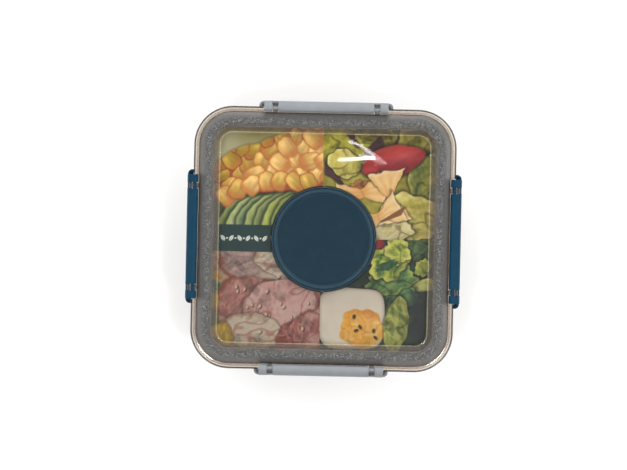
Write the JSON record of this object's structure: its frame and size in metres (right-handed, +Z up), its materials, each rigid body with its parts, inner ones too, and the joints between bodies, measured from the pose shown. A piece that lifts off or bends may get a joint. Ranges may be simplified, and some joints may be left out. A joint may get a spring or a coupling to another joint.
{
  "type": "snap lid food container",
  "caption": "Square salad box: smoky bowl, divided tray round a sauce cup, printed card and a clear sealed lid held by hinged snap clips on every side.",
  "frame": {"origin": "middle of the underside, in the plane the box stands on", "axes": "+Z up through the lid, +X towards the blue right-hand clip, +Y towards the back grey clip"},
  "size_m": [0.1838, 0.1838, 0.0702],
  "materials": {
    "smoky_plastic": "clear smoky, glossy, with a frosted border",
    "clip_grey": "satin moulded",
    "clip_blue": "satin moulded",
    "sauce_blue": "satin to glossy moulded",
    "tray_white": "satin moulded",
    "silicone": "soft matte silicone",
    "printed_card": "printed, slightly glossy"
  },
  "bodies": {
    "bowl": {"bowl": "smoky_plastic"},
    "tray": {"tray": "tray_white"},
    "sauce_cup": {"sauce_cup": "smoky_plastic"},
    "sauce_lid": {"sauce_lid": "sauce_blue", "sauce_seal": "silicone"},
    "insert_card": {"insert_card": "printed_card"},
    "lid": {"lid": "smoky_plastic", "lid_seal": "silicone"},
    "clip_back": {"clip_back": "clip_grey"},
    "clip_front": {"clip_front": "clip_grey"},
    "clip_left": {"clip_left": "clip_blue"},
    "clip_right": {"clip_right": "clip_blue"}
  },
  "joints": [
    {"name": "lid_lift", "type": "slide", "parent": "bowl", "child": "lid", "axis": [0, 0, 1], "range_m": [0, 0.09]},
    {"name": "tray_lift", "type": "slide", "parent": "bowl", "child": "tray", "axis": [0, 0, 1], "range_m": [0, 0.03]},
    {"name": "cup_lift", "type": "slide", "parent": "tray", "child": "sauce_cup", "axis": [0, 0, 1], "range_m": [0, 0.028]},
    {"name": "sauce_lid_lift", "type": "slide", "parent": "sauce_cup", "child": "sauce_lid", "axis": [0, 0, 1], "range_m": [0, 0.01]},
    {"name": "card_lift", "type": "slide", "parent": "tray", "child": "insert_card", "axis": [0, 0, 1], "range_m": [0, 0.045]},
    {"name": "clip_back_hinge", "type": "hinge", "parent": "lid", "child": "clip_back", "pos_m": [0, 0.0869, 0.0674], "axis": [1, 0, 0], "range_deg": [0, 115]},
    {"name": "clip_front_hinge", "type": "hinge", "parent": "lid", "child": "clip_front", "pos_m": [0, -0.0869, 0.0674], "axis": [-1, 0, 0], "range_deg": [0, 115]},
    {"name": "clip_left_hinge", "type": "hinge", "parent": "lid", "child": "clip_left", "pos_m": [-0.0869, 0, 0.0674], "axis": [0, 1, 0], "range_deg": [0, 115]},
    {"name": "clip_right_hinge", "type": "hinge", "parent": "lid", "child": "clip_right", "pos_m": [0.0869, 0, 0.0674], "axis": [0, -1, 0], "range_deg": [0, 115]}
  ],
  "couplings": [
    {"joint": "tray_lift", "follows": "lid_lift", "ratio": 0.3333},
    {"joint": "cup_lift", "follows": "lid_lift", "ratio": 0.311},
    {"joint": "sauce_lid_lift", "follows": "lid_lift", "ratio": 0.111},
    {"joint": "card_lift", "follows": "lid_lift", "ratio": 0.5},
    {"joint": "clip_back_hinge", "follows": "lid_lift", "rad_per_m": 22.3},
    {"joint": "clip_front_hinge", "follows": "lid_lift", "rad_per_m": 22.3},
    {"joint": "clip_left_hinge", "follows": "lid_lift", "rad_per_m": 22.3},
    {"joint": "clip_right_hinge", "follows": "lid_lift", "rad_per_m": 22.3}
  ]
}
